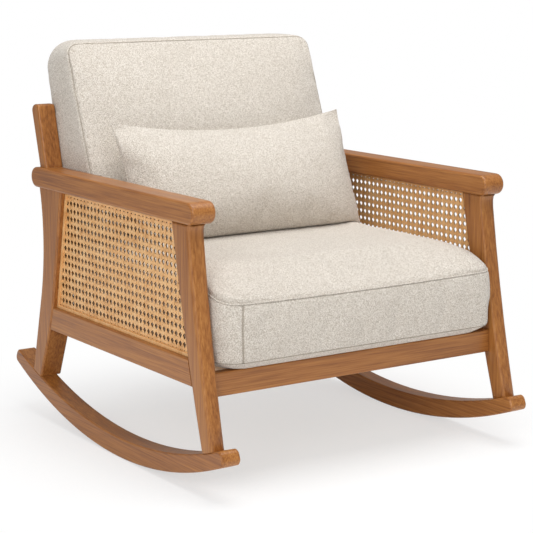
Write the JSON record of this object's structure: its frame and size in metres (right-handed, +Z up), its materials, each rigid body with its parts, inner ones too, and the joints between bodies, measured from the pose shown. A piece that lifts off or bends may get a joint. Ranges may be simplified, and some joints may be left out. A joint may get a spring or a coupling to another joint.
{
  "type": "rocking chair",
  "caption": "Wooden rocking chair with woven cane sides, flat armrests, a boxed seat cushion, a wedge back cushion and a loose lumbar pillow.",
  "frame": {"origin": "floor under the middle of the rockers, midway between the two sides", "axes": "+Z up, the chair faces -Y, +X to the right of someone looking at its front"},
  "size_m": [0.72, 0.84, 0.796],
  "materials": {
    "show_wood": "satin oil",
    "deck_wood": "planed, unfinished",
    "cane": "natural rattan",
    "reed": "natural rattan",
    "cover_fabric": "nubby woven",
    "foam": "open-cell foam or fibre"
  },
  "bodies": {
    "frame": {"rocker_left": "show_wood", "rocker_right": "show_wood", "front_leg_left": "show_wood", "front_leg_right": "show_wood", "back_post_left": "show_wood", "back_post_right": "show_wood", "armrest_left": "show_wood", "armrest_right": "show_wood", "side_rail_left": "show_wood", "side_rail_right": "show_wood", "cane_panel_left": "cane", "cane_panel_right": "cane", "cane_reed_left": "reed", "cane_reed_right": "reed", "front_rail": "show_wood", "rear_rail": "show_wood", "back_top_rail": "show_wood", "back_lower_rail": "show_wood", "front_cleat": "deck_wood", "rear_cleat": "deck_wood", "back_slat_1": "show_wood", "back_slat_2": "show_wood", "back_slat_3": "show_wood", "back_slat_4": "show_wood", "back_slat_5": "show_wood", "seat_slat_1": "deck_wood", "seat_slat_2": "deck_wood", "seat_slat_3": "deck_wood", "seat_slat_4": "deck_wood", "seat_slat_5": "deck_wood", "seat_slat_6": "deck_wood", "seat_slat_7": "deck_wood"},
    "seat_cushion": {"seat_cover": "cover_fabric", "seat_foam": "foam"},
    "back_cushion": {"back_cover": "cover_fabric", "back_foam": "foam"},
    "lumbar_pillow": {"pillow_cover": "cover_fabric", "pillow_fill": "foam"}
  },
  "joints": [
    {"name": "seat_cushion_lift", "type": "slide", "parent": "frame", "child": "seat_cushion", "axis": [0, 0, 1], "range_m": [0, 0.3]},
    {"name": "back_cushion_lift", "type": "slide", "parent": "seat_cushion", "child": "back_cushion", "axis": [0, 0.2425, 0.9701], "range_m": [0, 0.3]},
    {"name": "pillow_lift", "type": "slide", "parent": "back_cushion", "child": "lumbar_pillow", "axis": [0, 0, 1], "range_m": [0, 0.3]}
  ]
}
